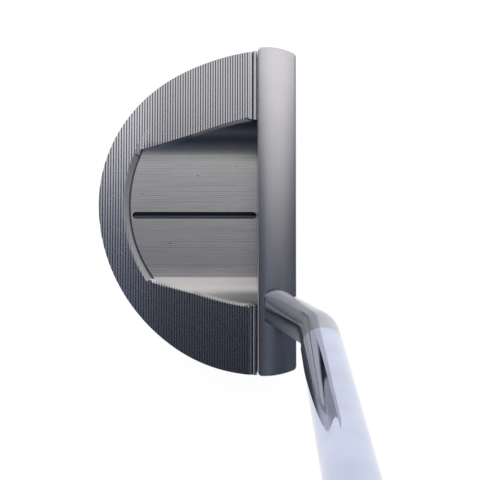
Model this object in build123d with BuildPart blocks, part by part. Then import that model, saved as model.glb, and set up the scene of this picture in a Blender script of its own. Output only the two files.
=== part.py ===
from build123d import *
import os
from math import asin, cos, degrees, radians, sin, sqrt, tan

# Mallet putter, left-handed: +X is the target line, +Y the toe, +Z up, millimetres.
# The origin lies on the flat of the sole, under the centre of the half-moon.

tool_overrun = 5.0          # cutters run this far past the metal
pick_tolerance = 0.01       # how close an edge or corner has to lie to be picked

# ---- head: overall ----------------------------------------------------------
head_length = 96.0          # heel to toe
top_line_height = 25.0      # sole to the crest of the front block
seam_x = 0.42               # plane where flange and front block meet
seam_clearance = 0.04       # gap between the two machined faces
sole_radius = 1.5           # rolled edge round the sole

# ---- front block ------------------------------------------------------------
block_depth = 11.15         # back face to striking face, at the crest
loft_angle = 3.0            # striking face leans back by this
crown_rise = 0.7            # crest of the top line above its long edges
block_end_radius = 25.0     # plan radius of toe and heel ends
block_end_straight = 1.3    # straight run before that radius starts
face_corner_radius = 1.4    # upright corners of the striking face
back_corner_radius = 1.2    # upright corners beside the seam
block_edge_radius = 0.5     # broken edges of the top line
foot_reach = 18.0           # foot under the flange, from the block's back face
foot_width = 36.0
foot_thickness = 3.5
foot_clearance = 0.04       # play of the foot in the flange's pocket
foot_corner_radius = 4.0

# ---- ribbed flange ----------------------------------------------------------
back_shift = 3.0            # the half-moon's back is carried this far towards the toe
ring_front_height = 20.0    # rib crests at the seam
ring_back_height = 9.65     # rib crests at the back edge
ring_top_radius = 96.0      # hollow sweep of the ribbed surface, side view
deck_height = 9.6           # milled deck between the coves
deck_half_width = 18.9
deck_edge_radius = 5.0      # blend of the deck into each cove
cove_radius = 11.35
cove_edge_half_width = 27.05    # cove wall near the seam
cove_edge_height = 17.75        # height of the cove circle at that width
edge_break_front = 1.0      # 45 degree break between cove and ribs, beside the lip
edge_break_length = 18.0    # it runs out to nothing over this length
edge_break_stations = 6
edge_break_end = 0.02       # the run-out ends this far clear of the edge
lip_height = 19.8           # level land beside the seam
lip_width = 0.7
lip_chamfer = 0.5
lip_groove_width = 1.2      # wide groove between land and ribs
lip_groove_depth = 0.5
rib_pitch = 0.80            # along the swept surface
rib_groove_top = 0.30       # ribs are level on top, with a groove in front of each
rib_groove_bottom = 0.10
rib_groove_depth = 0.30     # below the rib behind it
channel_radius = 39.4       # centre line of the curved channel behind the deck
channel_width = 2.4
channel_depth = 0.75
channel_floor = 0.5         # from the deck's wall to the foot of the sloping side
channel_rim = 0.25          # the sloping side ends this far over the deck
channel_toe_angle = 157.0   # ends of the channel, about the shifted centre
channel_heel_angle = 215.5
slot_width = 2.1            # sight slot
slot_y = -0.3               # it lies this far to the heel of the origin
slot_front_gap = 0.1        # metal left between the slot and the seam
slot_depth = 1.5
slot_bottom_flat = 0.3      # left between the rounded corners of the slot
slot_setback = 0.45         # land left between the slot and the channel
fill_depth = 0.9            # enamel surface below the deck
fill_clearance = 0.02

# ---- fasteners and weights in the sole --------------------------------------
flange_screw_diameter = 4.0
flange_screw_head = 7.5
flange_screw_head_height = 2.1
flange_screw_length = 8.2
flange_screw_hex = 2.5      # across the flats of the socket
flange_screw_x = -9.2       # middle of the screw pattern
flange_screw_pitch_x = 8.4
flange_screw_pitch_y = 22.0
neck_screw_diameter = 5.0
neck_screw_head = 9.0
neck_screw_head_height = 2.6
neck_screw_length = 18.0
neck_screw_hex = 3.0
screw_socket_depth = 1.6
screw_clearance = 0.05      # all round a screw in its hole
screw_head_recess = 0.2     # heads sit below the sole
screw_head_rim = 0.3
weight_diameter = 15.0
weight_height = 5.5
weight_recess = 0.4
weight_clearance = 0.05
weight_x = -22.0
weight_from_end = 20.5      # in from the heel or toe end of the head
weight_chamfer = 0.5
spanner_hole_diameter = 2.0
spanner_hole_depth = 1.8
spanner_hole_spacing = 8.0

# ---- neck -------------------------------------------------------------------
neck_diameter = 10.0
neck_setback = 5.34         # centre of the neck's foot, ahead of the block's back face
neck_from_heel = 20.1       # and in from the heel end
neck_seat_depth = 0.6       # flat seat milled into the crown
neck_back_flat = 3.3        # upright flat at the back of the foot, from its centre
neck_bend_radius = 20.0
collar_lip = 0.3            # thin collar round the foot
collar_height = 1.1
spigot_diameter = 8.0
spigot_length = 14.0
spigot_clearance = 0.02
neck_seat_clearance = 0.05
neck_elbow = 64.7           # elbow and shaft end, along the shaft's axis from the ground
neck_shoulder = 76.1

# ---- shaft ------------------------------------------------------------------
lie_angle = 72.0
shaft_lead = 9.3            # shaft axis ahead of the neck's foot
shaft_aim = 14.2            # shaft axis meets the ground this far to the toe of the neck's foot
club_length = 864.0         # ground to butt along the shaft
shaft_tip_diameter = 10.4
shaft_wall = 0.6
shaft_fit = 0.03            # neck spigot in the tube, all round
shaft_spigot_length = 26.0
shaft_first_step = 180.0    # parallel tip section
shaft_step_spacing = 34.0
shaft_step_count = 9
shaft_step_rise = 0.46      # on the diameter
shaft_step_length = 1.5

# ---- grip -------------------------------------------------------------------
grip_length = 267.0
grip_mouth_diameter = 19.5
grip_butt_diameter = 29.0
grip_waist_diameter = 23.0
grip_waist = 95.0           # from the mouth
grip_flat_mouth = 8.6       # thumb flat to the shaft's axis
grip_flat_butt = 11.4
tape_thickness = 0.25
tape_margin = 6.0           # the tape stops short of the grip's mouth
grip_fit = 0.02
cap_thickness = 4.0
cap_plug_depth = 10.0
cap_clearance = 0.05
vent_diameter = 3.0

os.makedirs("parts", exist_ok=True)

# ---- derived places ---------------------------------------------------------
half_length = head_length / 2
neck_x = seam_x + seam_clearance + neck_setback
neck_y = neck_from_heel - half_length
weight_y = half_length - weight_from_end
block_back_x = seam_x + seam_clearance
face_top_x = block_back_x + block_depth
face_foot_x = face_top_x + top_line_height * tan(radians(loft_angle))
crown_edge_height = top_line_height - crown_rise
crown_radius = (block_depth ** 2 / 4 + crown_rise ** 2) / (2 * crown_rise)
block_mid_x = (block_back_x + face_top_x) / 2
neck_seat_height = top_line_height - neck_seat_depth
shaft_axis = Vector(0, -cos(radians(lie_angle)), sin(radians(lie_angle)))


def on_shaft(distance):
    """Point on the shaft's axis, measured from the ground."""
    return Vector(neck_x + shaft_lead, neck_y + shaft_aim, 0) + shaft_axis * distance


def across_shaft(distance):
    """Plane square to the shaft, its X along the target line."""
    return Plane(origin=on_shaft(distance), x_dir=(1, 0, 0), z_dir=shaft_axis)


def along_shaft(distance):
    """Plane that holds the shaft's axis as its Y; its X looks up and away from the player."""
    return Plane(origin=on_shaft(distance), x_dir=across_shaft(distance).y_dir, z_dir=(1, 0, 0))


def half_moon(angle, radius=half_length):
    """Outline of the flange: a circle whose back is carried towards the toe."""
    turn = radians(angle)
    return (radius * cos(turn), radius * sin(turn) + back_shift * cos(turn) ** 2)


# ---- ribbed surface: one arc in side view -----------------------------------
ring_front = Vector(0, ring_front_height)
ring_back = Vector(-half_length, ring_back_height)
ring_chord = ring_front - ring_back
ring_normal = Vector(-ring_chord.Y, ring_chord.X).normalized()
ring_rise = sqrt(ring_top_radius ** 2 - (ring_chord.length / 2) ** 2)
ring_centre = (ring_front + ring_back) * 0.5 + ring_normal * ring_rise


def ring_top(x):
    """Height of the rib crests at a place along the target line."""
    return ring_centre.Y - sqrt(ring_top_radius ** 2 - (x - ring_centre.X) ** 2)


# ---- tools for the cuts -----------------------------------------------------
def countersunk(diameter, head, head_height, length, clearance=0.0):
    """A countersunk screw standing head down in the sole, or its hole, grown by a clearance."""
    head_face = 0 if clearance else screw_head_recess
    with BuildPart() as body:
        with BuildSketch(Plane.XZ):
            Polygon(
                (0, head_face),
                (head / 2 + clearance, head_face),
                (head / 2 + clearance, screw_head_recess + screw_head_rim),
                (diameter / 2 + clearance, screw_head_recess + head_height),
                (diameter / 2 + clearance, screw_head_recess + length + clearance),
                (0, screw_head_recess + length + clearance),
                align=None,
            )
        revolve(axis=Axis.Z)
    return body.part


def slot_bar(margin):
    """The sight slot as a round-ended bar with a rounded bottom, drawn in by a margin."""
    width = slot_width - 2 * margin
    rear = slot_rear_x + slot_width / 2
    front = seam_x - slot_front_gap - slot_width / 2
    with BuildPart() as bar:
        with BuildSketch(Plane.XY.offset(deck_height - slot_depth + margin)):
            with Locations(((rear + front) / 2, slot_y)):
                SlotCenterToCenter(front - rear, width)
        extrude(amount=2 * slot_depth)
        bottom = bar.faces().sort_by(Axis.Z)[0]
        fillet(bottom.edges(), width / 2 - slot_bottom_flat / 2)
    return bar.part


def collar_face(clearance):
    """The neck's foot in plan: round, with an upright flat at the back."""
    radius = neck_diameter / 2 + collar_lip + clearance
    flat = neck_back_flat + clearance
    with BuildSketch() as plan:
        with Locations((neck_x, neck_y)):
            Circle(radius)
        with Locations((neck_x - flat, neck_y)):
            Rectangle(radius, 2 * radius, align=(Align.MAX, Align.CENTER), mode=Mode.SUBTRACT)
    return plan.sketch


def make_screw(diameter, head, head_height, length, hexagon):
    """A countersunk screw with its hexagon socket, standing head down in the sole."""
    with BuildPart() as screw:
        add(countersunk(diameter, head, head_height, length))
        with BuildSketch(Plane.XY.offset(screw_head_recess)):
            RegularPolygon(hexagon / 2, 6, major_radius=False)
        extrude(amount=screw_socket_depth, mode=Mode.SUBTRACT)
    return screw.part


flange_screw_places = [
    (flange_screw_x + side * flange_screw_pitch_x / 2, end * flange_screw_pitch_y / 2, 0)
    for side in (-1, 1)
    for end in (-1, 1)
]
channel_inner = channel_radius - channel_width / 2
slot_rear_x = slot_setback - sqrt(channel_inner ** 2 - (back_shift - slot_y) ** 2)

# The hollow over the deck: flat floor, a cove on each side, closed at the back by the channel.
cove_chord = Vector(cove_edge_half_width - deck_half_width, cove_edge_height - deck_height)
cove_normal = Vector(-cove_chord.Y, cove_chord.X).normalized()
cove_centre = (
    Vector(deck_half_width, deck_height)
    + cove_chord * 0.5
    + cove_normal * sqrt(cove_radius ** 2 - (cove_chord.length / 2) ** 2)
)
cove_start_angle = -90 + degrees(asin((deck_half_width - cove_centre.X) / cove_radius))
above_head = top_line_height + tool_overrun

with BuildPart() as hollow:
    with BuildSketch(Plane.YZ.offset(seam_x + tool_overrun)) as hollow_end:
        with BuildLine():
            Line((0, deck_height), (deck_half_width, deck_height))
            CenterArc(cove_centre, cove_radius, cove_start_angle, -cove_start_angle)
            Polyline(
                (cove_centre.X + cove_radius, cove_centre.Y),
                (cove_centre.X + cove_radius, above_head),
                (0, above_head),
            )
            mirror(about=Plane.YZ)
        make_face()
        deck_corners = hollow_end.vertices().filter_by(
            lambda corner: abs(corner.Y - deck_height) < pick_tolerance and abs(corner.X) > pick_tolerance
        )
        fillet(deck_corners, deck_edge_radius)
    extrude(amount=-half_length - tool_overrun)
    with BuildSketch():
        with Locations((0, back_shift)):
            Circle(channel_radius)
    extrude(amount=above_head, mode=Mode.INTERSECT)

channel_start = Vector(cos(radians(channel_toe_angle)), sin(radians(channel_toe_angle)), 0)
with BuildPart() as channel:
    with BuildSketch(Plane(origin=(0, back_shift, deck_height), x_dir=channel_start,
                           z_dir=channel_start.cross(Vector(0, 0, 1)))):
        Polygon(
            (channel_inner, tool_overrun),
            (channel_inner, -channel_depth),
            (channel_inner + channel_floor, -channel_depth),
            (channel_inner + channel_width, channel_rim),
            (channel_inner + channel_width, tool_overrun),
            align=None,
        )
    revolve(axis=Axis((0, back_shift, 0), (0, 0, 1)),
            revolution_arc=channel_heel_angle - channel_toe_angle)

# The edge between cove and ribs is broken at 45 degrees, less and less away from the seam.
lip_back_x = seam_x - lip_chamfer - lip_width
with BuildPart() as edge_break:
    for station in range(edge_break_stations + 1):
        share = station / edge_break_stations
        station_x = lip_back_x - edge_break_length * share
        broken = edge_break_front * (1 - share) - edge_break_end
        rib_height = ring_top(station_x)
        edge_y = cove_centre.X + sqrt(cove_radius ** 2 - (cove_centre.Y - rib_height) ** 2)
        with BuildSketch(Plane.YZ.offset(station_x)):
            Polygon(
                (edge_y + broken + edge_break_front, rib_height + edge_break_front),
                (edge_y - edge_break_front, rib_height + edge_break_front),
                (edge_y - edge_break_front, rib_height - edge_break_front - broken),
                align=None,
            )
    loft()
    mirror(about=Plane.XZ)

# The comb: level ribs stepped evenly down the swept line, with a groove in front of each.
comb_start_x = lip_back_x - lip_groove_width
comb_start = asin((comb_start_x - ring_centre.X) / ring_top_radius)
comb_end = asin((-half_length - back_shift - ring_centre.X) / ring_top_radius)
rib_step = rib_pitch / ring_top_radius
rib_count = int((comb_start - comb_end) / rib_step) + 1
groove_lean = (rib_groove_top - rib_groove_bottom) / 2

comb_line = [
    (seam_x + tool_overrun, lip_height),
    (lip_back_x, lip_height),
    (lip_back_x, ring_top(lip_back_x) - lip_groove_depth),
    (comb_start_x, ring_top(comb_start_x) - lip_groove_depth),
]
for rib in range(rib_count):
    rib_front = ring_centre.X + ring_top_radius * sin(comb_start - rib_step * rib)
    rib_rear = ring_centre.X + ring_top_radius * sin(comb_start - rib_step * (rib + 1)) + rib_groove_top
    rib_crest = ring_top((rib_front + rib_rear) / 2)
    if rib > 0:
        comb_line.append((rib_front + groove_lean, rib_crest - rib_groove_depth))
    comb_line += [(rib_front, rib_crest), (rib_rear, rib_crest)]
    next_crest = ring_top(rib_rear - rib_groove_top - (rib_front - rib_rear) / 2)
    comb_line.append((rib_rear - groove_lean, next_crest - rib_groove_depth))

with BuildPart() as comb:
    with BuildSketch(Plane.XZ):
        Polygon(
            *comb_line,
            (comb_line[-1][0], above_head + tool_overrun),
            (seam_x + tool_overrun, above_head + tool_overrun),
            align=None,
        )
    extrude(amount=half_length + tool_overrun, both=True)
    with BuildSketch():
        with Locations((0, back_shift)):
            Circle(channel_radius)
        with Locations((lip_back_x - lip_groove_width / 2, 0)):
            Rectangle(head_length, 2 * deck_half_width,
                      align=(Align.MAX, Align.CENTER), mode=Mode.INTERSECT)
    extrude(amount=above_head, mode=Mode.SUBTRACT)


# ---- front block: bar, foot and the sockets for neck and screws --------------
with BuildPart() as front_block:
    with BuildSketch(Plane.XZ):
        Polygon(
            (block_back_x, 0),
            (face_foot_x, 0),
            (face_top_x, top_line_height),
            (block_back_x, top_line_height),
            align=None,
        )
    extrude(amount=half_length, both=True)
    with BuildSketch():
        with BuildLine():
            side_line = Polyline((block_back_x, 0), (block_back_x, half_length),
                                 (block_back_x + block_end_straight, half_length))
            end_reach = face_foot_x + tool_overrun - block_back_x - block_end_straight
            end_turn = degrees(asin(end_reach / block_end_radius))
            end_arc = JernArc(side_line @ 1, (1, 0), block_end_radius, -end_turn)
            Line(end_arc @ 1, (face_foot_x + tool_overrun, 0))
            mirror(about=Plane.XZ)
        make_face()
    extrude(amount=top_line_height, mode=Mode.INTERSECT)
    upright = front_block.edges().filter_by(lambda edge: abs(edge.tangent_at(0.5).Z) > 0.5)
    fillet(upright.filter_by(lambda edge: edge.center().X > block_mid_x), face_corner_radius)
    low = front_block.faces().sort_by(Axis.Z)[0].edges()
    fillet(low.filter_by(lambda edge: edge.center().X > block_back_x + pick_tolerance), sole_radius)
    upright = front_block.edges().filter_by(Axis.Z)
    back_corners = upright.filter_by(lambda edge: edge.center().X < block_back_x + pick_tolerance)
    fillet(back_corners, back_corner_radius)
    with BuildSketch(Plane.XZ):
        with Locations((block_mid_x, crown_edge_height - tool_overrun)):
            Rectangle(block_depth + tool_overrun, above_head, align=(Align.CENTER, Align.MIN))
        with Locations((block_mid_x, top_line_height - crown_radius)):
            Circle(crown_radius, mode=Mode.SUBTRACT)
    extrude(amount=half_length, both=True, mode=Mode.SUBTRACT)
    high = front_block.faces().sort_by(Axis.Z)[-1].edges()
    fillet(high, block_edge_radius)
    with BuildSketch():
        with Locations((block_back_x + tool_overrun, 0)):
            Rectangle(foot_reach + tool_overrun, foot_width, align=(Align.MAX, Align.CENTER))
    extrude(amount=foot_thickness)
    foot_corners = front_block.edges().filter_by(Axis.Z).group_by(Axis.X)[0]
    fillet(foot_corners, foot_corner_radius)

    with Locations((neck_x, neck_y, 0)):
        add(countersunk(neck_screw_diameter, neck_screw_head, neck_screw_head_height,
                        neck_screw_length, screw_clearance),
            mode=Mode.SUBTRACT)
    with BuildSketch(Plane.XY.offset(neck_seat_height)):
        with Locations((neck_x, neck_y)):
            Circle(spigot_diameter / 2 + spigot_clearance)
    extrude(amount=-spigot_length - neck_seat_clearance, mode=Mode.SUBTRACT)
    with BuildSketch(Plane.XY.offset(neck_seat_height)):
        add(collar_face(neck_seat_clearance))
    extrude(amount=above_head, mode=Mode.SUBTRACT)
    with Locations(*flange_screw_places):
        add(countersunk(flange_screw_diameter, flange_screw_head, flange_screw_head_height,
                        flange_screw_length, screw_clearance),
            mode=Mode.SUBTRACT)
front_block.part.label = "front_block"
export_step(front_block.part, "parts/front_block.step")


# ---- ribbed flange: the half-moon body --------------------------------------
# The outline runs in arcs, each leaving on the heading of the one before.
half_moon_points = [
    (seam_x, half_length),
    *[half_moon(angle) for angle in range(120, 241, 30)],
    (seam_x, -half_length),
]
with BuildPart() as ribbed_flange:
    with BuildSketch():
        with BuildLine():
            heading = Vector(-1, 0)
            for start, end in zip(half_moon_points, half_moon_points[1:]):
                rim = TangentArc(start, end, tangent=heading)
                heading = rim % 1
            Line(half_moon_points[-1], half_moon_points[0])
        make_face()
    extrude(amount=above_head)
    add(comb.part, mode=Mode.SUBTRACT)
    rim_foot = ribbed_flange.faces().sort_by(Axis.Z)[0].edges()
    fillet(rim_foot.filter_by(lambda edge: edge.center().X < seam_x - pick_tolerance), sole_radius)
    seam_edge = ribbed_flange.faces().sort_by(Axis.X)[-1].edges().sort_by(Axis.Z)[-1]
    chamfer(seam_edge, lip_chamfer)

    add(hollow.part, mode=Mode.SUBTRACT)
    add(channel.part, mode=Mode.SUBTRACT)
    add(slot_bar(0), mode=Mode.SUBTRACT)

    add(edge_break.part, mode=Mode.SUBTRACT)

    with BuildSketch():
        with Locations((block_back_x - foot_reach - foot_clearance, 0)):
            Rectangle(foot_reach + tool_overrun, foot_width + 2 * foot_clearance,
                      align=(Align.MIN, Align.CENTER))
    extrude(amount=foot_thickness + foot_clearance, mode=Mode.SUBTRACT)
    pocket_corners = ribbed_flange.edges().filter_by(Axis.Z).filter_by(
        lambda edge: abs(edge.center().X - block_back_x + foot_reach + foot_clearance) < pick_tolerance
    )
    fillet(pocket_corners, foot_corner_radius)
    with Locations(*flange_screw_places):
        add(countersunk(flange_screw_diameter, flange_screw_head, flange_screw_head_height,
                        flange_screw_length, screw_clearance),
            mode=Mode.SUBTRACT)
    with Locations((weight_x, weight_y), (weight_x, -weight_y)):
        Cylinder(weight_diameter / 2 + weight_clearance,
                 weight_recess + weight_height + weight_clearance,
                 align=(Align.CENTER, Align.CENTER, Align.MIN), mode=Mode.SUBTRACT)
ribbed_flange.part.label = "ribbed_flange"
export_step(ribbed_flange.part, "parts/ribbed_flange.step")

# ---- enamel in the sight slot -----------------------------------------------
with BuildPart() as sight_line_fill:
    add(slot_bar(fill_clearance))
    with Locations((0, 0, deck_height - fill_depth)):
        Box(head_length, head_length, head_length,
            align=(Align.CENTER, Align.CENTER, Align.MIN), mode=Mode.SUBTRACT)
sight_line_fill.part.label = "sight_line_fill"
export_step(sight_line_fill.part, "parts/sight_line_fill.step")

# ---- screws: hexagon sockets, heads just under the sole ----------------------
with BuildPart() as flange_screws:
    with Locations(*flange_screw_places):
        add(make_screw(flange_screw_diameter, flange_screw_head, flange_screw_head_height,
                       flange_screw_length, flange_screw_hex))
flange_screws.part.label = "flange_screws"
export_step(flange_screws.part, "parts/flange_screws.step")

with BuildPart() as neck_screw:
    with Locations((neck_x, neck_y, 0)):
        add(make_screw(neck_screw_diameter, neck_screw_head, neck_screw_head_height,
                       neck_screw_length, neck_screw_hex))
neck_screw.part.label = "neck_screw"
export_step(neck_screw.part, "parts/neck_screw.step")


# ---- sole weights: threaded pucks with two spanner holes ---------------------
def make_weight(y):
    """One puck in its pocket in the sole."""
    with BuildPart() as puck:
        with Locations((weight_x, y, weight_recess)):
            Cylinder(weight_diameter / 2, weight_height,
                     align=(Align.CENTER, Align.CENTER, Align.MIN))
        chamfer(puck.edges().filter_by(GeomType.CIRCLE), weight_chamfer)
        with Locations((weight_x, y, weight_recess)):
            with GridLocations(spanner_hole_spacing, 1, 2, 1):
                Cylinder(spanner_hole_diameter / 2, spanner_hole_depth,
                         align=(Align.CENTER, Align.CENTER, Align.MIN), mode=Mode.SUBTRACT)
    return puck.part


for side_name, side_y in (("toe_weight", weight_y), ("heel_weight", -weight_y)):
    weight = make_weight(side_y)
    weight.label = side_name
    export_step(weight, f"parts/{side_name}.step")

# ---- neck: bent round bar on a D-shaped foot --------------------------------
with BuildPart() as neck:
    with BuildLine():
        neck_path = FilletPolyline(
            (neck_x, neck_y, neck_seat_height), on_shaft(neck_elbow), on_shaft(neck_shoulder),
            radius=neck_bend_radius,
        )
    foot_run = (on_shaft(neck_elbow) - Vector(neck_x, neck_y, neck_seat_height)).normalized()
    foot_start = Vector(neck_x, neck_y, neck_seat_height) - foot_run * neck_diameter
    with BuildSketch(Plane(origin=neck_path @ 0, z_dir=foot_run)):
        Circle(neck_diameter / 2)
    sweep(path=neck_path)
    with BuildSketch(Plane(origin=foot_start, z_dir=foot_run)):
        Circle(neck_diameter / 2)
    extrude(amount=neck_diameter)
    with Locations((0, 0, neck_seat_height + collar_height)):
        Box(4 * head_length, 4 * head_length, head_length,
            align=(Align.CENTER, Align.CENTER, Align.MAX), mode=Mode.SUBTRACT)
        with Locations((neck_x - neck_back_flat, 0)):
            Box(head_length, head_length, head_length,
                align=(Align.MAX, Align.CENTER, Align.MIN), mode=Mode.SUBTRACT)
    with BuildSketch(Plane.XY.offset(neck_seat_height)):
        add(collar_face(0))
    extrude(amount=collar_height)
    with BuildSketch(Plane.XY.offset(neck_seat_height)):
        with Locations((neck_x, neck_y)):
            Circle(spigot_diameter / 2)
    extrude(amount=-spigot_length)
    with Locations((neck_x, neck_y, 0)):
        add(countersunk(neck_screw_diameter, neck_screw_head, neck_screw_head_height,
                        neck_screw_length, screw_clearance),
            mode=Mode.SUBTRACT)
    with BuildSketch(across_shaft(neck_shoulder)):
        Circle(shaft_tip_diameter / 2 - shaft_wall - shaft_fit)
    extrude(amount=shaft_spigot_length)
neck.part.label = "neck"
export_step(neck.part, "parts/neck.step")

# ---- shaft: stepped steel tube over the neck's upper spigot ------------------
shaft_length = club_length - cap_thickness - neck_shoulder
step_starts = [shaft_first_step + shaft_step_spacing * step for step in range(shaft_step_count)]
outer_line = [(shaft_tip_diameter / 2, 0)]
for step, start in enumerate(step_starts):
    radius = shaft_tip_diameter / 2 + step * shaft_step_rise / 2
    outer_line.append((radius, start))
    outer_line.append((radius + shaft_step_rise / 2, start + shaft_step_length))
butt_radius = shaft_tip_diameter / 2 + shaft_step_count * shaft_step_rise / 2
outer_line.append((butt_radius, shaft_length))
inner_line = [(radius - shaft_wall, height) for radius, height in reversed(outer_line)]

with BuildPart() as shaft:
    with BuildSketch(along_shaft(neck_shoulder)):
        Polygon(*outer_line, *inner_line, align=None)
    revolve(axis=Axis(on_shaft(0), shaft_axis))
shaft.part.label = "shaft"
export_step(shaft.part, "parts/shaft.step")

# ---- grip: tape, rubber sleeve with a thumb flat, butt cap -------------------
grip_mouth = club_length - cap_thickness - grip_length
tape_radius = butt_radius + grip_fit + tape_thickness

with BuildPart() as grip_tape:
    with BuildSketch(across_shaft(grip_mouth + tape_margin)):
        Circle(tape_radius)
        Circle(butt_radius + grip_fit, mode=Mode.SUBTRACT)
    extrude(amount=grip_length - tape_margin)
grip_tape.part.label = "grip_tape"
export_step(grip_tape.part, "parts/grip_tape.step")


# The flat for the thumbs leaves the shaft's axis at a steady slope, from the mouth to the butt.
flat_slope = (grip_flat_butt - grip_flat_mouth) / grip_length
flat_end = grip_length + cap_thickness + tool_overrun
with BuildPart() as thumb_flat:
    with BuildSketch(along_shaft(grip_mouth)):
        Polygon(
            (grip_flat_mouth - flat_slope * tool_overrun, -tool_overrun),
            (grip_butt_diameter, -tool_overrun),
            (grip_butt_diameter, flat_end),
            (grip_flat_mouth + flat_slope * flat_end, flat_end),
            align=None,
        )
    extrude(amount=grip_butt_diameter, both=True)

# The sleeve swells in one easy curve through its waist.
waist_share = grip_waist / grip_length
grip_pull = (
    grip_waist_diameter
    - grip_mouth_diameter * (1 - waist_share) ** 2
    - grip_butt_diameter * waist_share ** 2
) / (4 * waist_share * (1 - waist_share))
with BuildPart() as grip:
    with BuildSketch(along_shaft(grip_mouth)):
        with BuildLine():
            outside = Bezier(
                (grip_mouth_diameter / 2, 0),
                (grip_pull, grip_length / 2),
                (grip_butt_diameter / 2, grip_length),
            )
            Polyline(
                outside @ 1,
                (tape_radius + grip_fit, grip_length),
                (tape_radius + grip_fit, 0),
                outside @ 0,
            )
        make_face()
    revolve(axis=Axis(on_shaft(0), shaft_axis))
    add(thumb_flat.part, mode=Mode.SUBTRACT)
grip.part.label = "grip"
export_step(grip.part, "parts/grip.step")

with BuildPart() as grip_cap:
    with BuildSketch(along_shaft(grip_mouth + grip_length)) as cap_half:
        Polygon(
            (vent_diameter / 2, -cap_plug_depth),
            (butt_radius - shaft_wall - cap_clearance, -cap_plug_depth),
            (butt_radius - shaft_wall - cap_clearance, 0),
            (grip_butt_diameter / 2, 0),
            (grip_butt_diameter / 2, cap_thickness),
            (vent_diameter / 2, cap_thickness),
            align=None,
        )
        rim = cap_half.vertices().group_by(Axis.Y)[-1].sort_by(Axis.X)[-1]
        fillet(rim, cap_thickness / 2)
    revolve(axis=Axis(on_shaft(0), shaft_axis))
    add(thumb_flat.part, mode=Mode.SUBTRACT)
grip_cap.part.label = "grip_cap"
export_step(grip_cap.part, "parts/grip_cap.step")
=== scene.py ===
import bmesh
import bpy
from math import acos, cos, radians, sin, tau
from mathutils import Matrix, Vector


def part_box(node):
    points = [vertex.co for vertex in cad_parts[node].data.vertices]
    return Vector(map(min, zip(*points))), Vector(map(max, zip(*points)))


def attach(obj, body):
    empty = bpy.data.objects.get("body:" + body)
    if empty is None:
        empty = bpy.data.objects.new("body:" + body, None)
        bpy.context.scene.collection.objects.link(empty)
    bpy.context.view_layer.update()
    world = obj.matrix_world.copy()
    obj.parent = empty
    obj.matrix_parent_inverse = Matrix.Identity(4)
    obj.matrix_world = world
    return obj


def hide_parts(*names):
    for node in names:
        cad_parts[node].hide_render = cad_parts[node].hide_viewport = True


# Left-handed mallet putter: +X is the target line, +Y the toe, +Z up, in metres.
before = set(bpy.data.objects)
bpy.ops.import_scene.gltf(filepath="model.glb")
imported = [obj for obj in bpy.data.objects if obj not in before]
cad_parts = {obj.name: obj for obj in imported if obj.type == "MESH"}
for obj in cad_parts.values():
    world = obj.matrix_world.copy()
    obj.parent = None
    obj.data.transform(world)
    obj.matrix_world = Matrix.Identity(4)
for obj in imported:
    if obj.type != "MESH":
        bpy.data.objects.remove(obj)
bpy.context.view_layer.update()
mm = 0.001

# ---- camera -----------------------------------------------------------------
# It hangs 0.3 m over the head, a little to the heel side, as a player looks down at address.
SENSOR_WIDTH = 36.0          # millimetres
LENS_LENGTH = 71.25
CAMERA_PLACE = (-3.8 * mm, -24.8 * mm, 299.1 * mm)
CAMERA_TURN = (radians(3.35), radians(0.18), radians(0.07))
camera = bpy.data.objects.new("camera", bpy.data.cameras.new("camera"))
bpy.context.collection.objects.link(camera)
camera.data.sensor_width = SENSOR_WIDTH
camera.data.lens = LENS_LENGTH
camera.location = CAMERA_PLACE
camera.rotation_euler = CAMERA_TURN
bpy.context.scene.camera = camera
bpy.context.scene.view_settings.view_transform = "Standard"

# ---- studio -----------------------------------------------------------------
# One broad soft light hangs over the toe side; overhead and on the player's side the room is
# dark. The room is drawn in the world by direction, so polished metal shows it. Low down the
# white sweep runs all round.
ROOM_DARK = (0.038, 0.045, 0.067, 1.0)
ROOM_BACK = (0.105, 0.130, 0.185, 1.0)     # behind the head the room is a little lighter
BACK_RISES = (0.02, -0.24)   # between these parts of the direction along the target line
BACK_FADES = (-0.24, -0.38)
FRONT_RISES = (0.08, 0.30)   # and ahead of the head it is lighter by a share of that
FRONT_SHARE = 0.30
ROOM_LIGHT = (1.30, 1.27, 1.28, 1.0)
LIGHT_RISES = (0.02, 0.25)   # sine of the angle from straight up towards the toe
LIGHT_SINKS = (0.25, 0.8)
LIGHT_LOW = 0.80             # what is left of it near the horizon
LIGHT_OFFSET = 0.05          # its middle lies a little to the target side
LIGHT_NARROWS = 0.42         # how much it falls away to either side
SWEEP_WHITE = (0.92, 0.92, 0.93, 1.0)
SWEEP_TOP = 0.16             # sine of the height where the white sweep ends
SWEEP_FADE = 0.10
SWEEP_SIDE = (-0.1, 0.4)     # from the player's side to the target side less of it shows
SWEEP_FAR = 0.35
CAMERA_WHITE = (1.0, 1.0, 1.0, 1.0)
MIX_COLOURS_IN = (0, 6, 7)   # a Mix node's share and its two colours, by place: their names recur
MIX_COLOUR_OUT = 2


def add_node(tree, kind, **values):
    """A shader node with its properties and input values set by name."""
    made = tree.nodes.new(kind)
    for name, value in values.items():
        if name in made.inputs:
            made.inputs[name].default_value = value
        else:
            setattr(made, name, value)
    return made


def feed(tree, socket, term):
    """Gives an input a plain value, or links another node's output to it."""
    if isinstance(term, (int, float, tuple)):
        socket.default_value = term
    else:
        tree.links.new(term, socket)


def calculate(tree, operation, *terms):
    """A Math node over sockets and plain numbers."""
    made = add_node(tree, "ShaderNodeMath", operation=operation)
    for socket, term in zip(made.inputs, terms):
        feed(tree, socket, term)
    return made.outputs[0]


def multiply(tree, first, *others):
    """The product of several masks or values."""
    for other in others:
        first = calculate(tree, "MULTIPLY", first, other)
    return first


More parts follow.
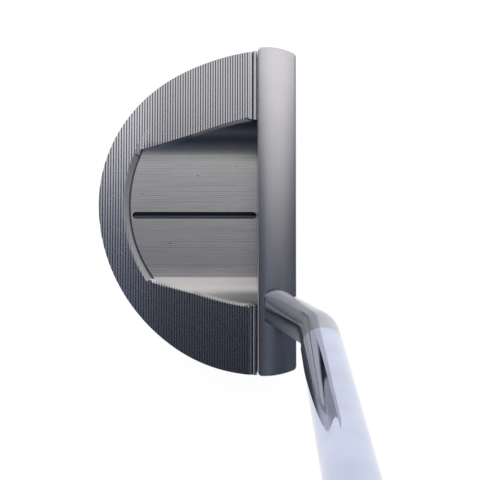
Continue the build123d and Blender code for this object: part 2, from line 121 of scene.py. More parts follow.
def ramp(tree, value, low, high, low_out=0.0, high_out=1.0):
    """A value carried smoothly from one range to another, held at both ends."""
    made = add_node(tree, "ShaderNodeMapRange", interpolation_type="SMOOTHSTEP")
    feed(tree, made.inputs["Value"], value)
    for name, number in (("From Min", low), ("From Max", high), ("To Min", low_out), ("To Max", high_out)):
        feed(tree, made.inputs[name], number)
    return made.outputs["Result"]


def blend_colours(tree, share, first, second):
    """Two colours mixed by a share; each is a socket or a plain colour."""
    made = add_node(tree, "ShaderNodeMix", data_type="RGBA")
    for place, term in zip(MIX_COLOURS_IN, (share, first, second)):
        feed(tree, made.inputs[place], term)
    return made.outputs[MIX_COLOUR_OUT]


room = bpy.data.worlds.new("studio_room")
room.use_nodes = True
bpy.context.scene.world = room
tree = room.node_tree
tree.nodes.clear()
direction = add_node(tree, "ShaderNodeSeparateXYZ")
tree.links.new(add_node(tree, "ShaderNodeTexCoord").outputs["Generated"], direction.inputs[0])
aside = calculate(tree, "SUBTRACT", direction.outputs["X"], LIGHT_OFFSET)
towards_toe = calculate(tree, "SUBTRACT", direction.outputs["Y"],
                        multiply(tree, aside, aside, LIGHT_NARROWS))
lit = multiply(tree, ramp(tree, towards_toe, *LIGHT_RISES),
               ramp(tree, direction.outputs["Y"], *LIGHT_SINKS, 1.0, LIGHT_LOW))
behind = multiply(tree, ramp(tree, direction.outputs["X"], *BACK_RISES),
                  ramp(tree, direction.outputs["X"], *BACK_FADES, 1.0, 0.0))
ahead = multiply(tree, ramp(tree, direction.outputs["X"], *FRONT_RISES), FRONT_SHARE)
colour = blend_colours(tree, calculate(tree, "ADD", behind, ahead), ROOM_DARK, ROOM_BACK)
colour = blend_colours(tree, lit, colour, ROOM_LIGHT)
rays = add_node(tree, "ShaderNodeLightPath")
sweep = multiply(tree, rays.outputs["Is Glossy Ray"],
                 ramp(tree, direction.outputs["X"], *SWEEP_SIDE, 1.0, SWEEP_FAR),
                 ramp(tree, direction.outputs["Z"], SWEEP_TOP - SWEEP_FADE, SWEEP_TOP, 1.0, 0.0))
colour = blend_colours(tree, sweep, colour, SWEEP_WHITE)
colour = blend_colours(tree, rays.outputs["Is Camera Ray"], colour, CAMERA_WHITE)
background = add_node(tree, "ShaderNodeBackground")
tree.links.new(colour, background.inputs["Color"])
tree.links.new(background.outputs[0], add_node(tree, "ShaderNodeOutputWorld").inputs[0])

# The floor is a white sweep. The eye and polished metal see it white, with a faint shadow.
FLOOR_SIZE = 6.0
FLOOR_SHOWN = 0.80
FLOOR_PAINT = (0.85, 0.85, 0.85, 1.0)
FLOOR_GLOW = 1.2
bpy.ops.mesh.primitive_grid_add(x_subdivisions=2, y_subdivisions=2, size=FLOOR_SIZE)
floor = bpy.context.object
floor.name = "floor"
white = bpy.data.materials.new("white_sweep")
white.use_nodes = True
tree = white.node_tree
tree.nodes.clear()
rays = add_node(tree, "ShaderNodeLightPath")
mirrored = calculate(tree, "MAXIMUM", rays.outputs["Is Glossy Ray"], rays.outputs["Is Transmission Ray"])
shown = calculate(tree, "MAXIMUM", rays.outputs["Is Camera Ray"], mirrored)
mixed = add_node(tree, "ShaderNodeMixShader")
tree.links.new(multiply(tree, shown, FLOOR_SHOWN), mixed.inputs[0])
tree.links.new(add_node(tree, "ShaderNodeBsdfDiffuse", Color=FLOOR_PAINT).outputs[0], mixed.inputs[1])
tree.links.new(add_node(tree, "ShaderNodeEmission", Strength=FLOOR_GLOW).outputs[0], mixed.inputs[2])
tree.links.new(mixed.outputs[0], add_node(tree, "ShaderNodeOutputMaterial").inputs[0])
floor.data.materials.append(white)

# ---- front block ------------------------------------------------------------
# The striking bar is stainless steel, milled from the solid, bead-blasted to an even satin and
# left with cutter marks on face and sole. It is screwed to the flange from below.
BLOCK_STEEL = (0.61, 0.605, 0.62, 1.0)
BLOCK_STEEL_DULL = (0.545, 0.545, 0.565, 1.0)
BLOCK_BRIGHT_EDGE = (0.80, 0.80, 0.80, 1.0)
BLOCK_GLOSS = (0.18, 0.23)   # roughness, from the pits' floors to the skin between them
BLOCK_PITS = 0.0018          # depths in millimetres
BLOCK_MARKS = 0.006
BLOCK_CLOUDED = 0.35         # how far clouds and passes dull the steel
BLOCK_SHADED = 0.4
FACE_MARK_PITCH = 0.9        # millimetres between two passes of the face mill
FACE_MARK_RADIUS = 60.0
SOLE_MARK_PITCH = 1.3
FACES_TARGET = (0.97, 0.99)  # parts of a surface's direction between which it counts as the face
FACES_GROUND = (-0.99, -0.95)
GRAIN_SPAN = (0.3, 0.7)      # where nearly all the grain's heights lie


def new_group(name, inputs, outputs):
    """An empty node group with its sockets, and its two end nodes."""
    group = bpy.data.node_groups.new(name, "ShaderNodeTree")
    for title, kind in inputs:
        group.interface.new_socket(name=title, in_out="INPUT", socket_type=kind)
    for title, kind in outputs:
        group.interface.new_socket(name=title, in_out="OUTPUT", socket_type=kind)
    return group, group.nodes.new("NodeGroupInput"), group.nodes.new("NodeGroupOutput")


def noise(tree, place, scale, break_up=0.6):
    """Noise with so many grains to the millimetre, from 0 to 1, in three finer layers."""
    made = add_node(tree, "ShaderNodeTexNoise", Detail=3.0, Roughness=break_up)
    feed(tree, made.inputs["Vector"], place)
    feed(tree, made.inputs["Scale"], scale)
    return made.outputs["Fac"]


# Grain: the fine pitting of a blasted or cast surface, and slow clouds of tone across it.
grain_group, ends_in, ends_out = new_group(
    "surface_grain",
    [("Place", "NodeSocketVector"), ("Fineness", "NodeSocketFloat")],
    [("Height", "NodeSocketFloat"), ("Clouds", "NodeSocketFloat")],
)
CLOUD_SCALE = 0.09
CLOUD_BREAK_UP = 0.55
CLOUD_SPAN = (0.35, 0.65)
fine = noise(grain_group, ends_in.outputs["Place"], ends_in.outputs["Fineness"])
grain_group.links.new(fine, ends_out.inputs["Height"])
clouds = noise(grain_group, ends_in.outputs["Place"], CLOUD_SCALE, CLOUD_BREAK_UP)
grain_group.links.new(ramp(grain_group, clouds, *CLOUD_SPAN), ends_out.inputs["Clouds"])

# Cutter marks: even scallops across a distance, each pass a little brighter or duller.
HALF_PASS = 0.5
SCALLOP_RISE = 4.0           # brings the square of half a pass up to 1
marks_group, ends_in, ends_out = new_group(
    "cutter_marks",
    [("Distance", "NodeSocketFloat"), ("Pitch", "NodeSocketFloat")],
    [("Height", "NodeSocketFloat"), ("Shade", "NodeSocketFloat")],
)
passes = calculate(marks_group, "DIVIDE", ends_in.outputs["Distance"], ends_in.outputs["Pitch"])
centred = calculate(marks_group, "SUBTRACT", calculate(marks_group, "FRACT", passes), HALF_PASS)
scallop = multiply(marks_group, centred, centred, SCALLOP_RISE)
marks_group.links.new(scallop, ends_out.inputs["Height"])
one_pass = add_node(marks_group, "ShaderNodeTexWhiteNoise", noise_dimensions="1D")
marks_group.links.new(calculate(marks_group, "FLOOR", passes), one_pass.inputs["W"])
marks_group.links.new(one_pass.outputs["Value"], ends_out.inputs["Shade"])

# Worn edges: where two faces meet, rubbed bright in patches.
EDGE_TURNS = (0.90, 0.995)   # how far a rounded edge's direction agrees with the flat beside it
PATCH_SPAN = (0.35, 0.60)
wear_group, ends_in, ends_out = new_group(
    "worn_edges",
    [("Place", "NodeSocketVector"), ("Width", "NodeSocketFloat"), ("Patches", "NodeSocketFloat")],
    [("Wear", "NodeSocketFloat")],
)
rounded = add_node(wear_group, "ShaderNodeBevel", samples=4)
wear_group.links.new(ends_in.outputs["Width"], rounded.inputs["Radius"])
facing = add_node(wear_group, "ShaderNodeVectorMath", operation="DOT_PRODUCT")
wear_group.links.new(rounded.outputs[0], facing.inputs[0])
wear_group.links.new(add_node(wear_group, "ShaderNodeNewGeometry").outputs["Normal"], facing.inputs[1])
edge = ramp(wear_group, facing.outputs["Value"], *EDGE_TURNS, 1.0, 0.0)
patches = noise(wear_group, ends_in.outputs["Place"], ends_in.outputs["Patches"])
wear_group.links.new(multiply(wear_group, edge, ramp(wear_group, patches, *PATCH_SPAN)),
                     ends_out.inputs["Wear"])


class Finish:
    """A material under construction: its tree, its shader, and where on the part it lies."""

    def __init__(self, name, metallic=1.0):
        self.material = bpy.data.materials.new(name)
        self.material.use_nodes = True
        self.tree = self.material.node_tree
        self.shader = self.tree.nodes["Principled BSDF"]
        self.shader.inputs["Metallic"].default_value = metallic
        spot = add_node(self.tree, "ShaderNodeTexCoord")
        scaled = add_node(self.tree, "ShaderNodeVectorMath", operation="SCALE", Scale=1 / mm)
        self.tree.links.new(spot.outputs["Object"], scaled.inputs[0])
        self.place = scaled.outputs[0]
        self.x, self.y, self.z = self.split(self.place)
        self.facing_x, self.facing_y, self.facing_z = self.split(spot.outputs["Normal"])

    def split(self, vector):
        """The three parts of a vector."""
        parts = add_node(self.tree, "ShaderNodeSeparateXYZ")
        self.tree.links.new(vector, parts.inputs[0])
        return parts.outputs

    def group(self, group, **values):
        """A shared effect placed in this material with its own values."""
        made = add_node(self.tree, "ShaderNodeGroup", node_tree=group)
        for name, term in values.items():
            feed(self.tree, made.inputs[name], term)
        return made.outputs

    def between(self, value, low, high, soft=0.1):
        """A mask: 1 where a value lies between two limits."""
        return multiply(self.tree, ramp(self.tree, value, low - soft, low + soft),
                        ramp(self.tree, value, high - soft, high + soft, 1.0, 0.0))

    def reach(self, x, y):
        """Distance from an upright axis."""
        squares = []
        for along, centre in ((self.x, x), (self.y, y)):
            off = calculate(self.tree, "SUBTRACT", along, centre)
            squares.append(calculate(self.tree, "MULTIPLY", off, off))
        return calculate(self.tree, "SQRT", calculate(self.tree, "ADD", *squares))

    def relief(self, height, depth, normal=None):
        """A bump of so many millimetres."""
        bump = add_node(self.tree, "ShaderNodeBump", Strength=1.0, Distance=depth * mm)
        feed(self.tree, bump.inputs["Height"], height)
        if normal is not None:
            self.tree.links.new(normal, bump.inputs["Normal"])
        return bump.outputs["Normal"]

    def finish(self, colour, roughness, normal):
        """Gives the shader what varies over the surface; the roughness may be a plain number."""
        for name, term in (("Base Color", colour), ("Roughness", roughness), ("Normal", normal)):
            feed(self.tree, self.shader.inputs[name], term)
        return self.material


def finish_node(name, material):
    """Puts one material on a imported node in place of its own."""
    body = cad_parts[name]
    body.data.materials.clear()
    body.data.materials.append(material)


def blasted_steel():
    """Satin bead-blasted steel, with arcs of the mill on the face and straight passes below."""
    steel = Finish("blasted_steel")
    tree = steel.tree
    grain = steel.group(grain_group, Place=steel.place, Fineness=5.0)
    wear = steel.group(wear_group, Place=steel.place, Width=0.15 * mm, Patches=0.5)["Wear"]
    face = ramp(tree, steel.facing_x, *FACES_TARGET)
    sole = ramp(tree, steel.facing_z, *FACES_GROUND, 1.0, 0.0)
    off_centre = calculate(tree, "ADD", steel.z, FACE_MARK_RADIUS)
    squares = calculate(tree, "ADD", multiply(tree, off_centre, off_centre),
                        multiply(tree, steel.y, steel.y))
    face_marks = steel.group(marks_group, Distance=calculate(tree, "SQRT", squares), Pitch=FACE_MARK_PITCH)
    sole_marks = steel.group(marks_group, Distance=steel.x, Pitch=SOLE_MARK_PITCH)
    marks = calculate(tree, "ADD", multiply(tree, face, face_marks["Height"]),
                      multiply(tree, sole, sole_marks["Height"]))
    shade = calculate(tree, "ADD", multiply(tree, face, face_marks["Shade"]),
                      multiply(tree, sole, sole_marks["Shade"]))
    tone = calculate(tree, "ADD", multiply(tree, grain["Clouds"], BLOCK_CLOUDED),
                     multiply(tree, shade, BLOCK_SHADED))
    colour = blend_colours(tree, tone, BLOCK_STEEL, BLOCK_STEEL_DULL)
    colour = blend_colours(tree, wear, colour, BLOCK_BRIGHT_EDGE)
    roughness = ramp(tree, grain["Height"], *GRAIN_SPAN, *BLOCK_GLOSS)
    normal = steel.relief(grain["Height"], BLOCK_PITS)
    normal = steel.relief(marks, BLOCK_MARKS, normal)
    return steel.finish(colour, roughness, normal)


finish_node("front_block", blasted_steel())

# ---- ribbed flange ----------------------------------------------------------
# The half-moon body is milled aluminium: level ribs stepped down a hollow sweep, with painted
# shade in their grooves, a deck faced in straight passes, two coves, and a curved channel
# blasted matt. Painted shade also darkens the toe cove, a corner of the heel cove, the channel's
# floor and the deck's heel edge, and the rear ribs carry a painted highlight.
FLANGE_METAL = (0.49, 0.49, 0.505, 1.0)
DECK_METAL = (0.54, 0.535, 0.53, 1.0)
DECK_LINE = (0.22, 0.22, 0.235, 1.0)
RIB_PAINTED_HIGHLIGHT = (0.75, 0.75, 0.80, 1.0)
RIB_HIGHLIGHT_SPAN = (-26.0, -42.0)     # between these the ribs are painted lighter towards the back, a painted highlight
DECK_EDGE_SHADE = (0.34, 0.34, 0.35, 1.0)
COVE_PAINTED_SHADE = (0.20, 0.215, 0.25, 1.0)
COVE_METAL = (0.57, 0.562, 0.545, 1.0)
GROOVE_PAINTED_SHADE = (0.13, 0.15, 0.20, 1.0)
CHANNEL_GREY = (0.58, 0.585, 0.60, 1.0)
CHANNEL_PAINTED_SHADE = (0.13, 0.14, 0.17, 1.0)
CORNER_PAINTED_SHADE = (0.33, 0.33, 0.33, 1.0)
PIT_DARK = (0.10, 0.10, 0.11, 1.0)
RING_FRONT = (0.0, 20.0)     # the swept line of the rib crests: x and height in millimetres
RING_BACK = (-48.0, 9.65)
RING_RADIUS = 96.0
DECK_HEIGHT = 9.6
DECK_PLAY = 0.05             # the deck's mask reaches this far above and below it
DECK_SOFT = 0.02
DECK_HALF_WIDTH = 18.9
DECK_PASS = 0.64
DECK_LINE_HEIGHTS = (0.2, 0.9)    # which part of a scallop is drawn dark
DECK_LINE_FAINTEST = 0.45
DECK_WORN = (0.35, 0.65, 0.30, 1.0)     # where the lines are broken, and what is left of them
DECK_GRAIN_STRETCH = (0.10, 1.2, 1.0)
DECK_EDGE_SHADE_SPAN = (-DECK_HALF_WIDTH - 0.3, -DECK_HALF_WIDTH + 0.5, 0.35)
RUN_IN_SPAN = (DECK_HALF_WIDTH - 2.2, DECK_HALF_WIDTH + 3.0, 0.8)
COVE_SPAN = (DECK_HALF_WIDTH - 1.0, 28.5, 0.8)
COVE_DEPTHS = (0.2, 1.0)
COVE_PAINTED_SHADE_ACROSS = (19.0, 23.0)
CORNER_ACROSS = (-26.8, -22.5)
CORNER_ALONG = (-17.0, -5.0)
CORNER_WALLS = (0.60, 0.80, 1.0, 0.9)
CHANNEL_CENTRE = (0.0, 3.0)
CHANNEL_INNER = 38.2
CHANNEL_FLOOR = (38.72, 38.92)    # the flat strip at the foot of the deck's wall ends here
CHANNEL_OUTER = 40.6
CHANNEL_SOFT = 0.03
CHANNEL_ALONG = (-22.0, -20.0)
CHANNEL_TOP = (DECK_HEIGHT + 0.2, DECK_HEIGHT + 0.35)
DECK_ROUND = (CHANNEL_INNER, CHANNEL_INNER + 0.1)
COMB_START = -1.98           # behind it the ribs; before it the wide groove and the land
COMB_PLAY = 0.05
COMB_DEPTHS = (-0.2, 0.9, 0.05)   # depths below the crests: low, high and how soft the limits are
GROOVE_DEPTHS = (0.17, 0.9, 0.05)
LAND_START = -1.20
LAND_END = -0.50
LAND_HEIGHTS = (18.2, 18.6)
GROOVE_LEVELLED = 0.40       # how far the floor of the wide groove is dished level
FACES_UP = (0.02, 0.10)      # parts of a surface's direction, upwards
FACES_LEVEL = (0.985, 0.995)
RIB_WALLS = (0.02, 0.05)     # and sideways
COVE_WALLS = (0.10, 0.25)
PITS_APART = 0.35            # cells of pitting to the millimetre
PIT_SIZE = (0.05, 0.09)
PIT_CHANCE = (0.80, 0.82)
FLANGE_WEAR = 0.5
FLANGE_GLOSS = (0.18, 0.22)
DECK_DULL = 0.30
COVE_DULL = 0.36
RUN_IN_DULL = 0.50
GROOVE_DULL = 0.42
CHANNEL_DULL = 0.60
FLANGE_PITS = 0.0008         # depths in millimetres
FLANGE_MARKS = 0.0025


def swept_height(tree, x):
    """Height of the rib crests at a place along the target line."""
    chord = Vector(RING_FRONT) - Vector(RING_BACK)
    middle = (Vector(RING_FRONT) + Vector(RING_BACK)) / 2
    rise = (RING_RADIUS ** 2 - (chord.length / 2) ** 2) ** 0.5
    centre = middle + Vector((-chord.y, chord.x)).normalized() * rise
    off = calculate(tree, "SUBTRACT", x, centre.x)
    under_root = calculate(tree, "SUBTRACT", RING_RADIUS ** 2, calculate(tree, "MULTIPLY", off, off))
    return calculate(tree, "SUBTRACT", centre.y, calculate(tree, "SQRT", under_root))


def ribbed_metal():
    """Milled aluminium, each region of the flange with its own finish; painted shade darkens some regions
    and a painted highlight lightens the rear ribs.
    """
    metal = Finish("ribbed_metal")
    tree = metal.tree
    upward = ramp(tree, metal.facing_z, *FACES_UP)
    sideways = calculate(tree, "ABSOLUTE", metal.facing_y)
    width = calculate(tree, "ABSOLUTE", metal.y)
    depth = calculate(tree, "SUBTRACT", swept_height(tree, metal.x), metal.z)
    from_centre = metal.reach(*CHANNEL_CENTRE)
    inside = ramp(tree, from_centre, *DECK_ROUND, 1.0, 0.0)
    deck_height = metal.between(metal.z, DECK_HEIGHT - DECK_PLAY, DECK_HEIGHT + DECK_PLAY, DECK_SOFT)
    deck = multiply(tree, deck_height, ramp(tree, metal.facing_z, *FACES_LEVEL), inside)
    groove = multiply(tree, metal.between(depth, *GROOVE_DEPTHS), upward,
                      ramp(tree, sideways, *RIB_WALLS, 1.0, 0.0),
                      ramp(tree, metal.x, COMB_START - COMB_PLAY, COMB_START + COMB_PLAY, 1.0, 0.0),
                      calculate(tree, "SUBTRACT", 1.0, deck))
    comb = multiply(tree, metal.between(depth, *COMB_DEPTHS), upward)
    plain = calculate(tree, "SUBTRACT", 1.0, comb)
    channel_ring = metal.between(from_centre, CHANNEL_INNER, CHANNEL_OUTER, CHANNEL_SOFT)
    channel = multiply(tree, channel_ring, upward, ramp(tree, metal.x, *CHANNEL_ALONG, 1.0, 0.0),
                       ramp(tree, metal.z, *CHANNEL_TOP, 1.0, 0.0))
    # painted shade on the channel's floor, at the foot of the deck's wall
    channel_floor_shade = multiply(tree, channel, ramp(tree, from_centre, *CHANNEL_FLOOR, 1.0, 0.0))
    cove = multiply(tree, metal.between(width, *COVE_SPAN), upward,
                    ramp(tree, sideways, *COVE_WALLS), ramp(tree, depth, *COVE_DEPTHS))
    # painted shade: the toe cove darkens outwards from the deck's edge
    cove_shade = multiply(tree, cove, ramp(tree, metal.y, *COVE_PAINTED_SHADE_ACROSS))
    # painted shade in a corner of the heel cove, towards the bar
    corner = multiply(tree, cove, ramp(tree, metal.y, *CORNER_ACROSS, 1.0, 0.0),
                      ramp(tree, metal.x, *CORNER_ALONG), ramp(tree, sideways, *CORNER_WALLS))
    # painted shade along the crease at the deck's heel edge
    deck_edge_shade = multiply(tree, metal.between(metal.y, *DECK_EDGE_SHADE_SPAN), inside, upward)
    run_in = multiply(tree, metal.between(width, *RUN_IN_SPAN), inside, upward)
    sole = ramp(tree, metal.facing_z, *FACES_GROUND, 1.0, 0.0)

    grain = metal.group(grain_group, Place=metal.place, Fineness=4.0)
    deck_marks = metal.group(marks_group, Distance=metal.y, Pitch=DECK_PASS)
    sole_marks = metal.group(marks_group, Distance=metal.x, Pitch=SOLE_MARK_PITCH)
    wear = metal.group(wear_group, Place=metal.place, Width=0.12 * mm, Patches=0.4)["Wear"]
    pits = add_node(tree, "ShaderNodeTexVoronoi", Scale=PITS_APART, Randomness=1.0)
    tree.links.new(metal.place, pits.inputs["Vector"])
    pit_chance = metal.split(pits.outputs["Color"])[0]
    pitted = multiply(tree, ramp(tree, pits.outputs["Distance"], *PIT_SIZE, 1.0, 0.0),
                      ramp(tree, pit_chance, *PIT_CHANCE), calculate(tree, "MAXIMUM", deck, cove))

    # painted highlight: the ribs lighten towards the back of the flange
    rib_highlight = ramp(tree, metal.x, *RIB_HIGHLIGHT_SPAN)
    colour = blend_colours(tree, rib_highlight, FLANGE_METAL, RIB_PAINTED_HIGHLIGHT)
    colour = blend_colours(tree, cove, colour, COVE_METAL)
    colour = blend_colours(tree, cove_shade, colour, COVE_PAINTED_SHADE)
    colour = blend_colours(tree, corner, colour, CORNER_PAINTED_SHADE)
    stretched = add_node(tree, "ShaderNodeVectorMath", operation="MULTIPLY")
    tree.links.new(metal.place, stretched.inputs[0])
    stretched.inputs[1].default_value = DECK_GRAIN_STRETCH
    uneven = noise(tree, stretched.outputs[0], 1.0)
    line = multiply(tree, deck, ramp(tree, deck_marks["Height"], *DECK_LINE_HEIGHTS),
                    ramp(tree, deck_marks["Shade"], 0.0, 1.0, DECK_LINE_FAINTEST, 1.0),
                    ramp(tree, uneven, *DECK_WORN))
    colour = blend_colours(tree, deck, colour, DECK_METAL)
    colour = blend_colours(tree, line, colour, DECK_LINE)
    colour = blend_colours(tree, deck_edge_shade, colour, DECK_EDGE_SHADE)
    colour = blend_colours(tree, multiply(tree, wear, plain, FLANGE_WEAR), colour, BLOCK_BRIGHT_EDGE)
    # painted shade: the ribs' grooves darkened by their depth below the crests
    colour = blend_colours(tree, groove, colour, GROOVE_PAINTED_SHADE)
    colour = blend_colours(tree, channel, colour, CHANNEL_GREY)
    colour = blend_colours(tree, channel_floor_shade, colour, CHANNEL_PAINTED_SHADE)
    colour = blend_colours(tree, pitted, colour, PIT_DARK)

    plain_grain = multiply(tree, grain["Height"], plain)
    roughness = ramp(tree, plain_grain, *GRAIN_SPAN, *FLANGE_GLOSS)
    dulled = ((deck, DECK_DULL), (cove, COVE_DULL), (run_in, RUN_IN_DULL), (groove, GROOVE_DULL),
              (channel, CHANNEL_DULL))
    for mask, dull in dulled:
        step = calculate(tree, "SUBTRACT", dull, roughness)
        roughness = calculate(tree, "MULTIPLY_ADD", mask, step, roughness)
    marks = calculate(tree, "ADD", multiply(tree, deck, deck_marks["Height"]),
                      multiply(tree, sole, sole_marks["Height"]))
    over_land = calculate(tree, "SUBTRACT", calculate(tree, "MINIMUM", metal.x, LAND_END), LAND_START)
    over_groove = calculate(tree, "SUBTRACT", LAND_START, calculate(tree, "MAXIMUM", metal.x, COMB_START))
    over_land = calculate(tree, "MAXIMUM", over_land, 0.0)
    over_groove = multiply(tree, calculate(tree, "MAXIMUM", over_groove, 0.0), GROOVE_LEVELLED)
    broken = multiply(tree, calculate(tree, "ADD", over_land, over_groove),
                      ramp(tree, metal.z, *LAND_HEIGHTS))
    normal = metal.relief(plain_grain, FLANGE_PITS)
    normal = metal.relief(marks, FLANGE_MARKS, normal)
    normal = metal.relief(broken, 1.0, normal)
    return metal.finish(colour, roughness, normal)


finish_node("ribbed_flange", ribbed_metal())

# ---- sight slot enamel ------------------------------------------------------
# Navy enamel run into the slot and baked: it climbs the walls of the slot and shrinks to a
# hollow along the middle as it dries. The strip has round ends, like the slot.
ENAMEL_NAVY = (0.010, 0.016, 0.030, 1.0)
ENAMEL_PAINTED_LIGHT = (0.055, 0.075, 0.112, 1.0)
ENAMEL_LIT = (-0.02, 0.18)   # parts of its direction towards the toe between which the painted light rises
ENAMEL_GLOSS = (0.26, 0.40)
ENAMEL_PEEL = 0.006
ENAMEL_HOLLOW = 0.42 * mm    # how far the middle has sunk
ENAMEL_FOOT = (0.60, 0.25)   # share of the half width, and of the height, where its foot lies
ENAMEL_DRAWN_IN = 0.94       # share of the half width that its rings cross
ENAMEL_RINGS = 9
ENAMEL_POINTS = 56
SHARP_ANGLE = radians(40)


def new_piece(name, shape, material):
    """Turns a finished shape into an object that moves with the club."""
    mesh = bpy.data.meshes.new(name)
    bmesh.ops.recalc_face_normals(shape, faces=shape.faces)
    shape.to_mesh(mesh)
    shape.free()
    mesh.materials.append(material)
    for face in mesh.polygons:
        face.use_smooth = True
    mesh.set_sharp_from_angle(angle=SHARP_ANGLE)
    piece = bpy.data.objects.new(name, mesh)
    bpy.context.collection.objects.link(piece)
    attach(piece, "root")
    return piece


def join_rings(shape, rings):
    """Four-sided faces between each ring of points and the next."""
    for lower, upper in zip(rings, rings[1:]):
        for here in range(len(lower)):
            after = (here + 1) % len(lower)
            shape.faces.new((lower[here], lower[after], upper[after], upper[here]))


def sight_enamel():
    """Satin dark paint, painted a shade lighter where it faces the light."""
    paint = Finish("sight_enamel", metallic=0.0)
    tree = paint.tree
    grain = paint.group(grain_group, Place=paint.place, Fineness=2.0)
    # painted light on the side of the enamel facing the toe
    painted_light = ramp(tree, paint.facing_y, *ENAMEL_LIT)
    colour = blend_colours(tree, painted_light, ENAMEL_NAVY, ENAMEL_PAINTED_LIGHT)
    roughness = ramp(tree, grain["Clouds"], 0.0, 1.0, *ENAMEL_GLOSS)
    return paint.finish(colour, roughness, paint.relief(grain["Height"], ENAMEL_PEEL))


def hollow_strip(low, high):
    """A round-ended strip between two corners, sunk along its middle."""
    middle = (low + high) / 2
    reach = (high.y - low.y) / 2
    straight = (high.x - low.x) / 2 - reach
    shape = bmesh.new()

    def ring(share, height):
        """One outline of the strip, drawn in to a share of its half width."""
        points = []
        for step in range(ENAMEL_POINTS):
            turn = tau * (step + 0.5) / ENAMEL_POINTS
            end = straight if cos(turn) > 0 else -straight
            along = middle.x + end + share * reach * cos(turn)
            across = middle.y + share * reach * sin(turn)
            points.append(shape.verts.new((along, across, height)))
        return points

    foot_share, foot_height = ENAMEL_FOOT
    rings = [ring(foot_share, low.z + foot_height * (high.z - low.z)), ring(1.0, (low.z + high.z) / 2)]
    for step in range(ENAMEL_RINGS):
        share = 1.0 - ENAMEL_DRAWN_IN * step / (ENAMEL_RINGS - 1)
        rings.append(ring(share, high.z - ENAMEL_HOLLOW * (1.0 - share ** 2)))
    join_rings(shape, rings)
    shape.faces.new(rings[0])
    shape.faces.new(rings[-1])
    return shape


enamel_low, enamel_high = (Vector(corner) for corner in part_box("sight_line_fill"))
enamel = new_piece("enamel_fill", hollow_strip(enamel_low, enamel_high), sight_enamel())
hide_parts("sight_line_fill")

# ---- screws -----------------------------------------------------------------
# Countersunk socket screws, blackened steel, tightened from below; the edges of the sockets
# and heads are rubbed bright by the key.
SCREW_BLACK = (0.060, 0.058, 0.060, 1.0)
SCREW_BROWN = (0.100, 0.092, 0.085, 1.0)
SCREW_BRIGHT = (0.50, 0.49, 0.48, 1.0)
SCREW_GLOSS = (0.30, 0.46)
SCREW_PITS = 0.004


def blackened_steel():
    """Oiled black oxide over turned steel."""
    steel = Finish("blackened_steel")
    tree = steel.tree
    grain = steel.group(grain_group, Place=steel.place, Fineness=3.0)
    wear = steel.group(wear_group, Place=steel.place, Width=0.20 * mm, Patches=1.2)["Wear"]
    colour = blend_colours(tree, grain["Clouds"], SCREW_BLACK, SCREW_BROWN)
    colour = blend_colours(tree, wear, colour, SCREW_BRIGHT)
    roughness = ramp(tree, grain["Height"], *GRAIN_SPAN, *SCREW_GLOSS)
    return steel.finish(colour, roughness, steel.relief(grain["Height"], SCREW_PITS))


screw_finish = blackened_steel()
finish_node("flange_screws", screw_finish)
finish_node("neck_screw", screw_finish)

# ---- sole weights -----------------------------------------------------------
# Two threaded steel pucks, faced on a lathe, with two holes each for the pin spanner.
WEIGHT_STEEL = (0.56, 0.56, 0.57, 1.0)
WEIGHT_STEEL_DULL = (0.42, 0.42, 0.43, 1.0)
WEIGHT_SHADED = 0.5          # how far the lathe's rings and the clouds dull it
WEIGHT_CLOUDED = 0.3
WEIGHT_GLOSS = (0.20, 0.30)
TURNED_PITCH = 0.35
TURNED_DEPTH = 0.004


def turned_steel(name):
    """Steel turned in fine rings about the middle of its own node."""
    low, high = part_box(name)
    steel = Finish("turned_" + name)
    tree = steel.tree
    rings = steel.reach((low[0] + high[0]) / 2 / mm, (low[1] + high[1]) / 2 / mm)
    marks = steel.group(marks_group, Distance=rings, Pitch=TURNED_PITCH)
    grain = steel.group(grain_group, Place=steel.place, Fineness=3.0)
    wear = steel.group(wear_group, Place=steel.place, Width=0.20 * mm, Patches=0.8)["Wear"]
    tone = calculate(tree, "ADD", multiply(tree, marks["Shade"], WEIGHT_SHADED),
                     multiply(tree, grain["Clouds"], WEIGHT_CLOUDED))
    colour = blend_colours(tree, tone, WEIGHT_STEEL, WEIGHT_STEEL_DULL)
    colour = blend_colours(tree, wear, colour, BLOCK_BRIGHT_EDGE)
    roughness = ramp(tree, grain["Height"], *GRAIN_SPAN, *WEIGHT_GLOSS)
    return steel.finish(colour, roughness, steel.relief(marks["Height"], TURNED_DEPTH))


finish_node("toe_weight", turned_steel("toe_weight"))
finish_node("heel_weight", turned_steel("heel_weight"))

# ---- neck -------------------------------------------------------------------
# A bent round bar of steel, satin nickel over fine polishing lines, seated on the bar's crown
# and drawn down by a screw from the sole. Towards the heel it is duller, with less of its shine.
NECK_NICKEL = (0.49, 0.505, 0.55, 1.0)
NECK_NICKEL_DULL = (0.435, 0.45, 0.495, 1.0)
NECK_FOOT_SHADE = (0.140, 0.168, 0.230, 1.0)
NECK_FOOT_FADE = (4.0, 20.0)      # along the target line, from the foot's painted shade to the plain nickel
NECK_WEAR = 0.6
NECK_GLOSS = (0.10, 0.16)
HEEL_SIDE = (-0.30, 0.35)    # parts of a surface's direction towards the toe
HEEL_SIDE_DULL = 0.30
HEEL_SIDE_SHINE_LOST = -0.80
NECK_POLISH = 0.002


